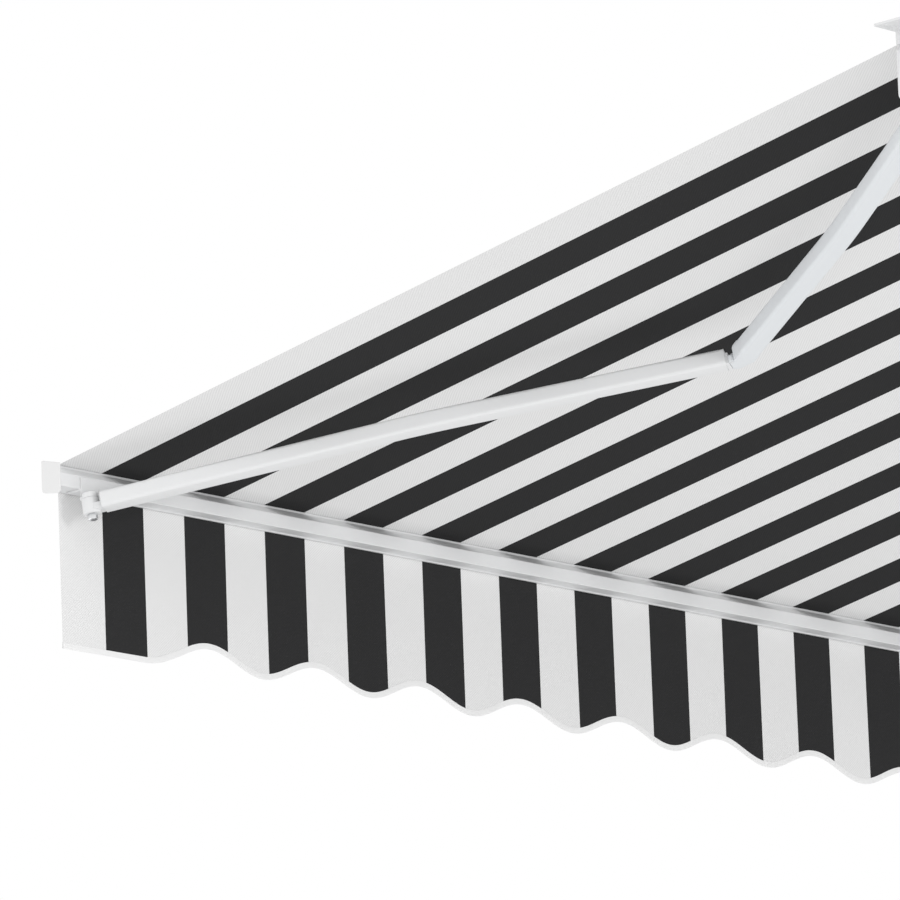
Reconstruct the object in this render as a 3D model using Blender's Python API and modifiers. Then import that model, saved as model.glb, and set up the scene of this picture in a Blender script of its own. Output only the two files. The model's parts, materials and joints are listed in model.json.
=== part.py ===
"""Folding-arm patio awning: square torsion bar on two end brackets, roller, two jointed arms,
front bar, striped canopy and scalloped valance. Metres, +Z up, wall plane at y = 0,
the awning reaches out towards -Y. The origin lies on the wall, at the height of the torsion bar."""

import math

import bmesh
import bpy
from mathutils import Matrix, Vector

# ---------------------------------------------------------------- driving dimensions
PITCH = math.radians(10.0)        # fall of the canopy, outwards
STRIPE = 0.096                    # width of one stripe of the cloth
STRIPES_BETWEEN = 23              # full stripes between the two edge stripes
EDGE_STRIPE = 0.1008              # the outermost stripes are a little wider
HALF_CLOTH = (STRIPES_BETWEEN * STRIPE + 2 * EDGE_STRIPE) / 2
GAP = 0.0003                      # air between pieces that touch
RUN = 0.0004                      # radial clearance of a turning pin

BAR_TO_WALL = 0.050               # torsion bar's centre in front of the wall
BAR_SIDE = 0.040
BAR_WALL = 0.0025
BAR_BELOW_ARMS = 0.0029           # torsion bar's centre below the plane of the arms
SHOULDER_AHEAD = 0.0793           # shoulder pin in front of the torsion bar, down the slope

ARM_LENGTH = 1.0817               # between the pins of one arm
ARM_ANGLE = math.radians(30.78)   # each arm against the outward direction, awning open
ARM_X = HALF_CLOTH - 0.0211       # shoulder and front pins, from the middle of the awning
CLOTH_ABOVE_ARMS = 0.0816
PIN_TO_HEM = 0.0407               # front pin behind the canopy's front hem
REACH = 2 * ARM_LENGTH * math.cos(ARM_ANGLE)
HEM_TO_BAR = PIN_TO_HEM + REACH + SHOULDER_AHEAD
CLOTH_ABOVE_BAR = CLOTH_ABOVE_ARMS + BAR_BELOW_ARMS

TUBE_B = 0.040                    # arm tube: width in the plane of the arms
TUBE_H = 0.028                    # arm tube: height
TUBE_WALL = 0.002
TUBE_R = 0.006
SHOULDER_OFFSET = 0.0143          # rear tube's axis beside the shoulder pin
REAR_BEND = (0.577, 0.0323)       # bend of the rear tube: along the arm, and outwards
REAR_ELBOW_OFFSET = 0.0218        # rear tube's axis beside the elbow pin
FRONT_ELBOW_OFFSET = 0.0197
FRONT_BEND = (0.5105, -0.0173)
END_LENGTH = 0.044                # pin to the end of a tube
KNUCKLE_LENGTH = 0.0185
COLLAR = 0.014
PLUG = 0.036

SHOULDER_EYE_R = 0.0175
SHOULDER_EYE_H = 0.028
EYE_R = 0.0147
EYE_H = 0.032
SHOULDER_PIN_R = 0.005
KNUCKLE_PIN_R = 0.004
ELBOW_PIN_R = 0.005
ELBOW_R = 0.0145
ELBOW_EAR = 0.0072

BAR_HALF = HALF_CLOTH + 0.0298    # front bar, half its length
CAP_T = 0.0035
PLATE_IN = 1.2110                 # inner face of an end bracket's side plate
PLATE_T = 0.004
PLATE_OUT = PLATE_IN + PLATE_T
PLATE_FRONT = -0.1769
PLATE_TOP = 0.0839
PLATE_BOTTOM = -0.030
FLANGE = 0.049

ROLLER_S = 1.978                  # roller's axis, up the slope from the front hem
ROLL_R = 0.028
ROLLER_R = 0.025
ROLLER_WALL = 0.0015
CLOTH_T = 0.0010
ROLLER_H = ROLL_R + CLOTH_T / 2 + GAP

VALANCE_T = 0.0008
VALANCE_DROP = 2.942              # middle of the scallops below the hem, in stripes
SCALLOP = 0.182                   # half the height of the scallops, in stripes
SCALLOP_PERIOD = 2.6495
SCALLOP_START = 2.206
FLAT_DROP = 3.195

COS_P, SIN_P = math.cos(PITCH), math.sin(PITCH)
HEM_Y = -BAR_TO_WALL - HEM_TO_BAR * COS_P - CLOTH_ABOVE_BAR * SIN_P
HEM_Z = -HEM_TO_BAR * SIN_P + CLOTH_ABOVE_BAR * COS_P
SIDES = (("right", 1), ("left", -1))

# ---------------------------------------------------------------- scene and helpers
for old in list(bpy.data.objects):
    bpy.data.objects.remove(old, do_unlink=True)


def collection(name):
    new = bpy.data.collections.new(name)
    bpy.context.scene.collection.children.link(new)
    return new


PARTS = collection("canvas_awning")
TOOLS = collection("cutters")


def material(name, colour, metallic=0.0, roughness=0.5):
    mat = bpy.data.materials.new(name)
    mat.use_nodes = True
    shader = mat.node_tree.nodes["Principled BSDF"]
    shader.inputs["Base Color"].default_value = (*colour, 1)
    shader.inputs["Metallic"].default_value = metallic
    shader.inputs["Roughness"].default_value = roughness
    return mat


WHITE = material("white_powder_coat", (0.80, 0.82, 0.84), 0.0, 0.35)
PLASTIC = material("white_plastic", (0.80, 0.80, 0.79), 0.0, 0.45)
STEEL = material("zinc_plated_steel", (0.62, 0.63, 0.65), 1.0, 0.35)
SPRING = material("spring_steel", (0.30, 0.30, 0.32), 1.0, 0.40)
CLOTH = material("striped_cloth", (0.72, 0.72, 0.71), 0.0, 0.9)
BRASS = material("bronze", (0.55, 0.42, 0.22), 1.0, 0.40)


def empty(name, location=(0, 0, 0), rotation=(0, 0, 0), parent=None):
    guide = bpy.data.objects.new(name, None)
    guide.location = location
    guide.rotation_euler = rotation
    guide.parent = parent
    TOOLS.objects.link(guide)
    return guide


def place(obj, mat, location=(0, 0, 0), rotation=(0, 0, 0), parent=None):
    """Puts a piece in the awning's collection, under its joint's empty."""
    for home in list(obj.users_collection):
        home.objects.unlink(obj)
    PARTS.objects.link(obj)
    obj.location = location
    obj.rotation_euler = rotation
    obj.parent = parent
    if mat is not None:
        obj.data.materials.clear()
        obj.data.materials.append(mat)
    return obj


def tool(obj, target):
    """Makes obj a hidden helper that moves with target."""
    for home in list(obj.users_collection):
        home.objects.unlink(obj)
    TOOLS.objects.link(obj)
    obj.parent = target.parent
    obj.hide_render = True
    obj.display_type = "WIRE"
    return obj


def boolean(target, other, operation):
    step = target.modifiers.new(operation.lower(), "BOOLEAN")
    step.operation = operation
    step.solver = "EXACT"
    step.object = tool(other, target)


def cut(target, *others):
    for other in others:
        boolean(target, other, "DIFFERENCE")


def join(target, *others):
    for other in others:
        boolean(target, other, "UNION")


def box(name, low, high):
    """A block between two corners; its origin stays at its parent's."""
    mesh = bpy.data.meshes.new(name)
    bm = bmesh.new()
    bmesh.ops.create_cube(bm, size=1)
    size = Vector(high) - Vector(low)
    middle = (Vector(high) + Vector(low)) / 2
    bmesh.ops.transform(bm, matrix=Matrix.Translation(middle) @ Matrix.Diagonal((*size, 1)), verts=bm.verts)
    bm.to_mesh(mesh)
    bm.free()
    obj = bpy.data.objects.new(name, mesh)
    TOOLS.objects.link(obj)
    return obj


def rod(name, start, end, radius, sides=28, end_radius=None):
    """A cylinder or cone between two points."""
    start, end = Vector(start), Vector(end)
    mesh = bpy.data.meshes.new(name)
    bm = bmesh.new()
    bmesh.ops.create_cone(
        bm, cap_ends=True, segments=sides, radius1=radius,
        radius2=radius if end_radius is None else end_radius, depth=(end - start).length,
    )
    turn = Vector((0, 0, 1)).rotation_difference(end - start).to_matrix().to_4x4()
    bmesh.ops.transform(bm, matrix=Matrix.Translation((start + end) / 2) @ turn, verts=bm.verts)
    bm.to_mesh(mesh)
    bm.free()
    mesh.shade_smooth()
    mesh.set_sharp_from_angle(angle=math.radians(40))
    obj = bpy.data.objects.new(name, mesh)
    TOOLS.objects.link(obj)
    return obj


def plate(name, outlines, thickness, basis):
    """Flat outline(s) given in a plane, thickened about it; later outlines are holes.
    basis turns the plane's x, y and normal into the piece's axes."""
    flat = bpy.data.curves.new(name, "CURVE")
    flat.dimensions = "2D"
    flat.fill_mode = "BOTH"
    flat.extrude = thickness / 2
    for outline in outlines:
        spline = flat.splines.new("POLY")
        spline.points.add(len(outline) - 1)
        for point, (a, b) in zip(spline.points, outline):
            point.co = (a, b, 0, 1)
        spline.use_cyclic_u = True
    source = bpy.data.objects.new(name + "_outline", flat)
    TOOLS.objects.link(source)
    bpy.context.view_layer.update()
    mesh = bpy.data.meshes.new_from_object(source.evaluated_get(bpy.context.evaluated_depsgraph_get()))
    bpy.data.objects.remove(source)
    bm = bmesh.new()
    bm.from_mesh(mesh)
    bmesh.ops.remove_doubles(bm, verts=bm.verts, dist=0.00001)
    bmesh.ops.transform(bm, matrix=basis, verts=bm.verts)
    bmesh.ops.recalc_face_normals(bm, faces=bm.faces)
    bm.to_mesh(mesh)
    bm.free()
    obj = bpy.data.objects.new(name, mesh)
    TOOLS.objects.link(obj)
    return obj


def basis(x_axis, y_axis, normal, at=(0, 0, 0)):
    turn = Matrix((x_axis, y_axis, normal)).transposed().to_4x4()
    return Matrix.Translation(at) @ turn


def arc(centre, radius, start, end, steps):
    """Points of an arc, angles in degrees."""
    return [
        (centre[0] + radius * math.cos(math.radians(start + (end - start) * i / steps)),
         centre[1] + radius * math.sin(math.radians(start + (end - start) * i / steps)))
        for i in range(steps + 1)
    ]


def rounded(width, height, radius, steps=4):
    """A rectangle with round corners, about its middle."""
    a, b = width / 2 - radius, height / 2 - radius
    points = []
    for (x, y), start in (((a, b), 0), ((-a, b), 90), ((-a, -b), 180), ((a, -b), 270)):
        points += arc((x, y), radius, start, start + 90, steps)
    return points


def hexagon(name, start, end, across):
    return rod(name, start, end, across / 2 / math.cos(math.pi / 6), sides=6)


SLOPE = empty("slope", (0, -BAR_TO_WALL, 0), (PITCH, 0, 0))     # its y runs up the canopy
WALL = empty("wall_side")
FRONT = empty("front_bar_axis", (0, HEM_Y, HEM_Z))              # at the canopy's front hem
ARMS_N = BAR_BELOW_ARMS                                         # height of the arms in SLOPE
SHOULDER_V = -SHOULDER_AHEAD
KNUCKLE_V = SHOULDER_V - REACH


def slope_to_hem(s, h):
    """A point s up the slope from the hem and h below the cloth, in FRONT's y and z."""
    return (s * COS_P + h * SIN_P, s * SIN_P - h * COS_P)


# ---------------------------------------------------------------- wall side
def torsion_bar():
    half, length = BAR_SIDE / 2, PLATE_IN - GAP
    bar = plate(
        "torsion_bar",
        [rounded(BAR_SIDE, BAR_SIDE, 0.004, 3), rounded(BAR_SIDE - 2 * BAR_WALL, BAR_SIDE - 2 * BAR_WALL, 0.0015, 2)],
        2 * length, basis((0, 1, 0), (0, 0, 1), (1, 0, 0)),
    )
    place(bar, WHITE, (0, -BAR_TO_WALL, 0))
    inner = half - BAR_WALL - GAP
    for name, side in SIDES:
        ends = sorted((side * (length - 0.030), side * (length - GAP)))
        plug = box(f"bar_plug_{name}", (ends[0], -BAR_TO_WALL - inner, -inner), (ends[1], -BAR_TO_WALL + inner, inner))
        place(plug, PLASTIC)
        bevel = plug.modifiers.new("edges", "BEVEL")
        bevel.width = 0.002
        bevel.segments = 2
        cut(plug, rod("bore", (side * 1.15, -BAR_TO_WALL, 0), (side * 1.30, -BAR_TO_WALL, 0), 0.005 + RUN))
        bolt = rod(
            f"bracket_bolt_{name}", (side * (PLATE_OUT + 0.004), -BAR_TO_WALL, 0),
            (side * (PLATE_IN - 0.028), -BAR_TO_WALL, 0), 0.005,
        )
        place(bolt, STEEL)
        face = PLATE_OUT + GAP
        join(
            bolt,
            rod("washer", (side * face, -BAR_TO_WALL, 0), (side * (face + 0.002), -BAR_TO_WALL, 0), 0.011),
            hexagon("head", (side * (face + 0.0015), -BAR_TO_WALL, 0), (side * (face + 0.0085), -BAR_TO_WALL, 0), 0.017),
        )


ROLLER_Y = HEM_Y + slope_to_hem(ROLLER_S, ROLLER_H)[0]
ROLLER_Z = HEM_Z + slope_to_hem(ROLLER_S, ROLLER_H)[1]
SLOT_R = 0.0045
AXLE_R = 0.0041


def end_bracket(name, side):
    """One folded sheet: side plate, top flange for a ceiling and back flange for a wall."""
    x_in, x_out, x_flange = side * PLATE_IN, side * PLATE_OUT, side * (PLATE_OUT + FLANGE)
    nose = 0.012
    inset = 0.0008                                    # folds: the side plate ends inside the flanges
    outline = [(-0.002, PLATE_BOTTOM), (-0.002, PLATE_TOP - 0.002), (PLATE_FRONT + inset, PLATE_TOP - 0.002)]
    outline += arc((PLATE_FRONT + inset + nose, PLATE_BOTTOM + nose), nose, 180, 270, 5)
    bracket = plate(
        f"end_bracket_{name}", [outline], PLATE_T,
        basis((0, 1, 0), (0, 0, 1), (1, 0, 0), ((x_in + x_out) / 2, 0, 0)),
    )
    place(bracket, WHITE, parent=WALL)
    low, high = sorted((x_in + side * 0.0003, x_flange))
    top = box("flange", (low, PLATE_FRONT, PLATE_TOP - PLATE_T), (high, -0.0005, PLATE_TOP))
    back = box("flange", (low, -PLATE_T, PLATE_BOTTOM - 0.001), (high, 0, PLATE_TOP - 0.0012))
    join(bracket, top, back)
    middle = side * (PLATE_OUT + FLANGE * 0.52)
    slot = rounded(0.026, 0.009, 0.0044, 4)
    for y in (PLATE_FRONT + 0.013, -0.055):
        cut(bracket, plate("slot", [slot], 0.05, basis((1, 0, 0), (0, 1, 0), (0, 0, 1), (middle, y, PLATE_TOP))))
    for z in (PLATE_BOTTOM + 0.020, PLATE_TOP - 0.026):
        cut(bracket, plate("slot", [slot], 0.05, basis((1, 0, 0), (0, 0, 1), (0, -1, 0), (middle, 0, z))))
    cut(
        bracket,
        rod("bolt_hole", (side * 1.15, -BAR_TO_WALL, 0), (side * 1.30, -BAR_TO_WALL, 0), 0.005 + RUN),
        plate(
            "axle_slot",
            [arc((ROLLER_Y, ROLLER_Z), SLOT_R, -90, 90, 8)
             + [(PLATE_FRONT - 0.01, ROLLER_Z + SLOT_R), (PLATE_FRONT - 0.01, ROLLER_Z - SLOT_R)]],
            0.12, basis((0, 1, 0), (0, 0, 1), (1, 0, 0), (side * 1.24, 0, 0)),
        ),
    )


def roller():
    spin = empty("roller_axis", (0, ROLLER_Y, ROLLER_Z))
    along = basis((0, 1, 0), (0, 0, 1), (1, 0, 0))

    def ring(outer, inner, sides=40):
        return [arc((0, 0), radius, 0, 360 - 360 / sides, sides - 1) for radius in (outer, inner)]

    tube_half = HALF_CLOTH + 0.0020
    place(plate("roller_tube", ring(ROLLER_R, ROLLER_R - ROLLER_WALL), 2 * tube_half, along), WHITE, parent=spin)
    place(plate("cloth_roll", ring(ROLL_R, ROLLER_R + GAP), 2 * HALF_CLOTH, along), CLOTH, parent=spin)
    for name, side in SIDES:
        reach = PLATE_OUT + (0.004 if side > 0 else 0.022)
        plug = rod(f"roller_plug_{name}", (side * (tube_half - 0.04), 0, 0), (side * (tube_half + GAP), 0, 0), 0.0231, 36)
        place(plug, PLASTIC, parent=spin)
        join(
            plug,
            rod("rim", (side * (tube_half + GAP), 0, 0), (side * (tube_half + 0.0035), 0, 0), ROLLER_R, 36),
            rod("axle", (side * (tube_half - 0.02), 0, 0), (side * reach, 0, 0), AXLE_R),
        )


WHEEL_R = 0.0105
WORM_R = 0.0052
WORM_Y = -(WHEEL_R + WORM_R + 0.0006)     # worm's axis beside the roller's
HOUSING_IN = PLATE_OUT + GAP
HOUSING_OUT = HOUSING_IN + 0.034


def gearbox():
    """Worm gear at the left end: housing, wheel on the roller's axle, worm with its crank eye."""
    seat = empty("gearbox_seat", (0, ROLLER_Y, ROLLER_Z))
    housing = plate(
        "gearbox_housing", [rounded(0.052, 0.036, 0.010, 5)], HOUSING_OUT - HOUSING_IN,
        basis((0, 1, 0), (0, 0, 1), (1, 0, 0), (-(HOUSING_IN + HOUSING_OUT) / 2, -0.004, 0)),
    )
    place(housing, PLASTIC, parent=seat)
    x_worm = -(HOUSING_IN + 0.013)
    join(housing, rod("neck", (x_worm, WORM_Y, -0.012), (x_worm, WORM_Y, -0.034), 0.0105, 28, 0.0095))
    cut(
        housing,
        rod("wheel_room", (-(HOUSING_IN - 0.01), 0, 0), (-(HOUSING_IN + 0.024), 0, 0), WHEEL_R + 0.0015, 32),
        rod("worm_room", (x_worm, WORM_Y, -0.05), (x_worm, WORM_Y, 0.013), WORM_R + RUN),
    )
    spin = empty("wheel_axis", (0, ROLLER_Y, ROLLER_Z))
    teeth = 14
    outline = []
    for i in range(teeth):
        middle = 360 / teeth * i
        for turn, radius in ((-8.5, 0.0085), (-5.0, WHEEL_R), (5.0, WHEEL_R), (8.5, 0.0085)):
            angle = math.radians(middle + turn)
            outline.append((radius * math.cos(angle), radius * math.sin(angle)))
    hole = arc((0, 0), AXLE_R + GAP, 0, 360 - 360 / 28, 27)
    wheel = plate(
        "worm_wheel", [outline, hole], 0.012,
        basis((0, 1, 0), (0, 0, 1), (1, 0, 0), (x_worm, 0, 0)),
    )
    place(wheel, BRASS, parent=spin)
    worm_axis = empty("worm_axis", (x_worm, ROLLER_Y + WORM_Y, ROLLER_Z))
    worm = rod("crank_eye", (0, 0, 0.0115), (0, 0, -0.046), WORM_R, 28)
    place(worm, STEEL, parent=worm_axis)
    ring = bpy.data.curves.new("eye", "CURVE")
    ring.dimensions = "3D"
    ring.bevel_depth = 0.0024
    ring.bevel_resolution = 2
    ring.resolution_u = 6
    loop = ring.splines.new("POLY")
    points = arc((0, -0.0535), 0.0088, 0, 345, 23)
    loop.points.add(len(points) - 1)
    for point, (a, b) in zip(loop.points, points):
        point.co = (a, 0, b, 1)
    loop.use_cyclic_u = True
    source = bpy.data.objects.new("eye_curve", ring)
    TOOLS.objects.link(source)
    bpy.context.view_layer.update()
    mesh = bpy.data.meshes.new_from_object(source.evaluated_get(bpy.context.evaluated_depsgraph_get()))
    bpy.data.objects.remove(source)
    eye = bpy.data.objects.new("eye", mesh)
    TOOLS.objects.link(eye)
    join(worm, eye)


# ---------------------------------------------------------------- arms
def shoulder(name, side):
    """A collar on the torsion bar with two ears, the pin through them and its nut."""
    outer, inner = 0.052, BAR_SIDE + 2 * GAP
    across = basis((0, 1, 0), (0, 0, 1), (1, 0, 0), (side * ARM_X, -BAR_TO_WALL, 0))
    bracket = plate(f"shoulder_bracket_{name}", [rounded(outer, outer, 0.005, 3)], 0.050, across)
    place(bracket, WHITE)
    ear_t, start = 0.006, -0.010
    ear = [(0.0175, start), (-0.0175, start)] + arc((0, SHOULDER_V), SHOULDER_EYE_R, 180, 360, 12)
    for n in (SHOULDER_EYE_H / 2 + GAP + ear_t / 2, -SHOULDER_EYE_H / 2 - GAP - ear_t / 2):
        lug = plate("ear", [ear], ear_t, basis((1, 0, 0), (0, 1, 0), (0, 0, 1), (side * ARM_X, 0, ARMS_N + n)))
        join(bracket, lug)
        lug.parent = SLOPE
    cut(bracket, plate("bar_hole", [rounded(inner, inner, 0.004, 3)], 0.10, across))
    bore = rod(
        "bore", (side * ARM_X, SHOULDER_V, ARMS_N - 0.04), (side * ARM_X, SHOULDER_V, ARMS_N + 0.04),
        SHOULDER_PIN_R + RUN,
    )
    cut(bracket, bore)
    bore.parent = SLOPE
    pin_line = empty(f"{name}_shoulder_pin_line", (side * ARM_X, SHOULDER_V, ARMS_N), parent=SLOPE)
    face = SHOULDER_EYE_H / 2 + GAP + ear_t + GAP
    pin = rod(f"shoulder_pin_{name}", (0, 0, face + 0.002), (0, 0, -face - 0.0105), SHOULDER_PIN_R)
    place(pin, STEEL, parent=pin_line)
    join(pin, hexagon("head", (0, 0, face), (0, 0, face + 0.0065), 0.017))
    nut = hexagon(f"shoulder_nut_{name}", (0, 0, -face), (0, 0, -face - 0.008), 0.017)
    place(nut, STEEL, parent=pin_line)
    cut(nut, rod("bore", (0, 0, -0.05), (0, 0, 0.05), SHOULDER_PIN_R + GAP))


def tube(name, points, parent):
    """Arm tube: a round-cornered section swept along the points, with its wall inwards."""
    section = bpy.data.curves.new(name + "_section", "CURVE")
    section.dimensions = "2D"
    ring = section.splines.new("POLY")
    outline = rounded(TUBE_B, TUBE_H, TUBE_R, 3)
    ring.points.add(len(outline) - 1)
    for point, (a, b) in zip(ring.points, outline):
        point.co = (a, b, 0, 1)
    ring.use_cyclic_u = True
    section_obj = bpy.data.objects.new(name + "_section", section)
    TOOLS.objects.link(section_obj)
    path = bpy.data.curves.new(name, "CURVE")
    path.dimensions = "3D"
    path.twist_mode = "Z_UP"
    path.bevel_mode = "OBJECT"
    path.bevel_object = section_obj
    line = path.splines.new("POLY")
    line.points.add(len(points) - 1)
    for point, (x, y) in zip(line.points, points):
        point.co = (x, y, 0, 1)
    source = bpy.data.objects.new(name + "_path", path)
    TOOLS.objects.link(source)
    bpy.context.view_layer.update()
    mesh = bpy.data.meshes.new_from_object(source.evaluated_get(bpy.context.evaluated_depsgraph_get()))
    bpy.data.objects.remove(source)
    bpy.data.objects.remove(section_obj)
    bm = bmesh.new()
    bm.from_mesh(mesh)
    bmesh.ops.remove_doubles(bm, verts=bm.verts, dist=0.00001)
    bmesh.ops.recalc_face_normals(bm, faces=bm.faces)
    centre = sum((v.co for v in bm.verts), Vector()) / len(bm.verts)
    face = max(bm.faces, key=lambda f: f.calc_center_median().z)
    if face.normal.dot(face.calc_center_median() - centre) < 0:
        bmesh.ops.reverse_faces(bm, faces=bm.faces)
    bm.to_mesh(mesh)
    bm.free()
    mesh.shade_smooth()
    mesh.set_sharp_from_angle(angle=math.radians(50))
    obj = bpy.data.objects.new(name, mesh)
    TOOLS.objects.link(obj)
    place(obj, WHITE, parent=parent)
    wall = obj.modifiers.new("wall", "SOLIDIFY")
    wall.thickness = TUBE_WALL
    wall.offset = -1
    wall.use_even_offset = True
    return obj


def bend_points(start, bend, end, cut_start, cut_end):
    """A straight line, a bend spread over 120 mm, and a straight line; both ends cut back."""
    start, bend, end = Vector(start), Vector(bend), Vector(end)
    first, second = (bend - start).normalized(), (end - bend).normalized()
    a, b = bend - first * 0.06, bend + second * 0.06
    curve = [a * (1 - t) ** 2 + bend * 2 * t * (1 - t) + b * t ** 2 for t in (0, 0.25, 0.5, 0.75, 1)]
    return [tuple(start + first * cut_start)] + [tuple(p) for p in curve] + [tuple(end - second * cut_end)]


def angle_of(start, end):
    return math.atan2(end[1] - start[1], end[0] - start[0])


def section_block(name, x0, x1, inset=0.0):
    """A length of the tube's own section along x, in the end piece's frame."""
    outline = rounded(TUBE_B - 2 * inset, TUBE_H - 2 * inset, max(TUBE_R - inset, 0.002), 3)
    return plate(name, [outline], x1 - x0, basis((0, 1, 0), (0, 0, 1), (1, 0, 0), ((x0 + x1) / 2, 0, 0)))


def flat_basis(z=0.0):
    return basis((1, 0, 0), (0, 1, 0), (0, 0, 1), (0, 0, z))


def end_piece(name, parent, at, angle, pin, length, collar):
    """Collar and plug of a cast end piece: the tube lies towards +x, its end at length.
    Also gives the pin's place in the piece's own frame."""
    frame = empty(name + "_frame", (*at, 0), (0, 0, angle), parent)
    casting = section_block(name, length - collar, length - GAP)
    place(casting, WHITE, parent=frame)
    join(casting, section_block("plug", length - collar / 2, length + PLUG, TUBE_WALL + GAP))
    local = Matrix.Rotation(-angle, 2) @ (Vector(pin) - Vector(at))
    return casting, local


def shoulder_end(name, parent, at, angle):
    """Rear arm's end piece: an eye about the shoulder pin, beside the tube's axis."""
    casting, pin = end_piece(name, parent, at, angle, (0, 0), END_LENGTH, COLLAR)
    side = 1 if pin.y < 0 else -1
    neck = [
        (pin.x - 0.002, pin.y + side * 0.0172), (pin.x + 0.004, pin.y - side * 0.0150),
        (0.034, -side * 0.0188), (0.034, side * 0.0188), (0.020, side * 0.0188),
    ]
    join(
        casting,
        plate("neck", [neck], 0.026, flat_basis()),
        rod("eye", (*pin, -SHOULDER_EYE_H / 2), (*pin, SHOULDER_EYE_H / 2), SHOULDER_EYE_R, 36),
    )
    cut(casting, rod("bore", (*pin, -0.05), (*pin, 0.05), SHOULDER_PIN_R + RUN))
    return casting


def knuckle_end(name, parent, at, angle):
    """Front arm's end piece: an eye right at the tube's end, joined to it by a wide neck."""
    casting, pin = end_piece(name, parent, at, angle, at, KNUCKLE_LENGTH, 0.004)
    join(
        casting,
        plate("neck", [[(0, 0.0138), (0, -0.0138), (0.0165, -0.0160), (0.0165, 0.0160)]], 0.0265, flat_basis()),
        rod("eye", (0, 0, -EYE_H / 2), (0, 0, EYE_H / 2), EYE_R, 36),
    )
    cut(casting, rod("bore", (0, 0, -0.05), (0, 0, 0.05), KNUCKLE_PIN_R + RUN))
    return casting


def elbow_end(name, parent, at, angle, pin_at, fork):
    """End piece at the elbow, the pin beside the tube's inner face. The rear arm carries the two
    outer ears, the front arm the tongue between them."""
    casting, pin = end_piece(name, parent, at, angle, pin_at, END_LENGTH, COLLAR)
    outer = 1 if pin.y < 0 else -1
    half_b, half = TUBE_B / 2, TUBE_H / 2 - 0.0003
    body = [
        (0.0010, -outer * (half_b - 0.0006)), (0.0010, outer * 0.008), (0.0100, outer * (half_b - 0.0006)),
        (END_LENGTH - COLLAR + 0.002, outer * (half_b - 0.0006)),
        (END_LENGTH - COLLAR + 0.002, -outer * (half_b - 0.0006)),
    ]
    join(casting, plate("body", [body], 2 * half, flat_basis()))
    ear_in = half - ELBOW_EAR
    clear = ELBOW_R + 0.0007
    if fork:
        layers, gaps = ((ear_in, half), (-half, -ear_in)), ((-ear_in, ear_in),)
    else:
        layers, gaps = ((-ear_in + GAP, ear_in - GAP),), ((ear_in - GAP, half + 0.01), (-half - 0.01, -ear_in + GAP))
    for low, high in gaps:
        cut(casting, rod("clearance", (*pin, low), (*pin, high), clear, 40))
    for low, high in layers:
        join(casting, rod("ear", (*pin, low), (*pin, high), ELBOW_R, 36))
    cut(casting, rod("bore", (*pin, -0.05), (*pin, 0.05), ELBOW_PIN_R + RUN))
    return casting


def arm(name, side):
    out = -side                                       # outer side of the arms, as a sign of local y
    rear_turn = math.atan2(-math.cos(ARM_ANGLE), -side * math.sin(ARM_ANGLE))
    rear = empty(f"{name}_rear_arm", (side * ARM_X, SHOULDER_V, ARMS_N), (0, 0, rear_turn), SLOPE)
    elbow_x = side * (ARM_X - ARM_LENGTH * math.sin(ARM_ANGLE))
    elbow_v = SHOULDER_V - ARM_LENGTH * math.cos(ARM_ANGLE)
    front_turn = math.atan2(-math.cos(ARM_ANGLE), side * math.sin(ARM_ANGLE))
    front = empty(f"{name}_front_arm", (elbow_x, elbow_v, ARMS_N), (0, 0, front_turn), SLOPE)

    start, end = (0, out * SHOULDER_OFFSET), (ARM_LENGTH, out * REAR_ELBOW_OFFSET)
    bend = (REAR_BEND[0], out * REAR_BEND[1])
    tube(f"rear_arm_tube_{name}", bend_points(start, bend, end, END_LENGTH, END_LENGTH), rear)
    shoulder_end(f"rear_arm_shoulder_end_{name}", rear, start, angle_of(start, bend))
    elbow_end(f"rear_arm_elbow_end_{name}", rear, end, angle_of(end, bend), (ARM_LENGTH, 0), True)

    start, end = (0, out * FRONT_ELBOW_OFFSET), (ARM_LENGTH, 0)
    bend = (FRONT_BEND[0], out * FRONT_BEND[1])
    tube(f"front_arm_tube_{name}", bend_points(start, bend, end, END_LENGTH, KNUCKLE_LENGTH), front)
    elbow_end(f"front_arm_elbow_end_{name}", front, start, angle_of(start, bend), (0, 0), False)
    knuckle_end(f"front_arm_bar_end_{name}", front, end, angle_of(end, bend))

    pin = rod(f"elbow_pin_{name}", (ARM_LENGTH, 0, -0.0145), (ARM_LENGTH, 0, 0.0145), ELBOW_PIN_R)
    place(pin, STEEL, parent=rear)
    join(
        pin,
        rod("head", (ARM_LENGTH, 0, 0.0140), (ARM_LENGTH, 0, 0.0165), 0.0085, 28, 0.0070),
        rod("rivet", (ARM_LENGTH, 0, -0.0140), (ARM_LENGTH, 0, -0.0160), 0.0085, 28, 0.0070),
    )

    # the tension spring and its cable lie in the front tube's straight run next to the elbow
    along = angle_of(start, bend)
    inner = empty(f"{name}_spring_line", (*start, 0), (0, 0, along), front)
    first = END_LENGTH + PLUG
    spring = rod(f"arm_spring_{name}", (first + 0.080, 0, 0), (first + 0.330, 0, 0), 0.0095, 20)
    place(spring, SPRING, parent=inner)
    cable = rod(f"arm_cable_{name}", (first + GAP, 0, 0), (first + 0.080 - GAP, 0, 0), 0.0016, 12)
    place(cable, STEEL, parent=inner)
    join(cable, rod("ferrule", (first + 0.058, 0, 0), (first + 0.080 - GAP, 0, 0), 0.0035, 16))


# ---------------------------------------------------------------- front bar
CHANNEL_Y, CHANNEL_Z = slope_to_hem(0, 0.0022)         # keder channel of the canopy
VALANCE_Z = -0.0413                                    # keder channel of the valance
ROD_R = 0.0014
LOOP_IN, LOOP_OUT = 0.0017, 0.0023
CHANNEL_R = 0.0027
BAR_FRONT = -0.0036
BAR_BACK = 0.0365
LIP_Z = -0.0456
ACROSS = basis((0, 1, 0), (0, 0, 1), (1, 0, 0))


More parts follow.
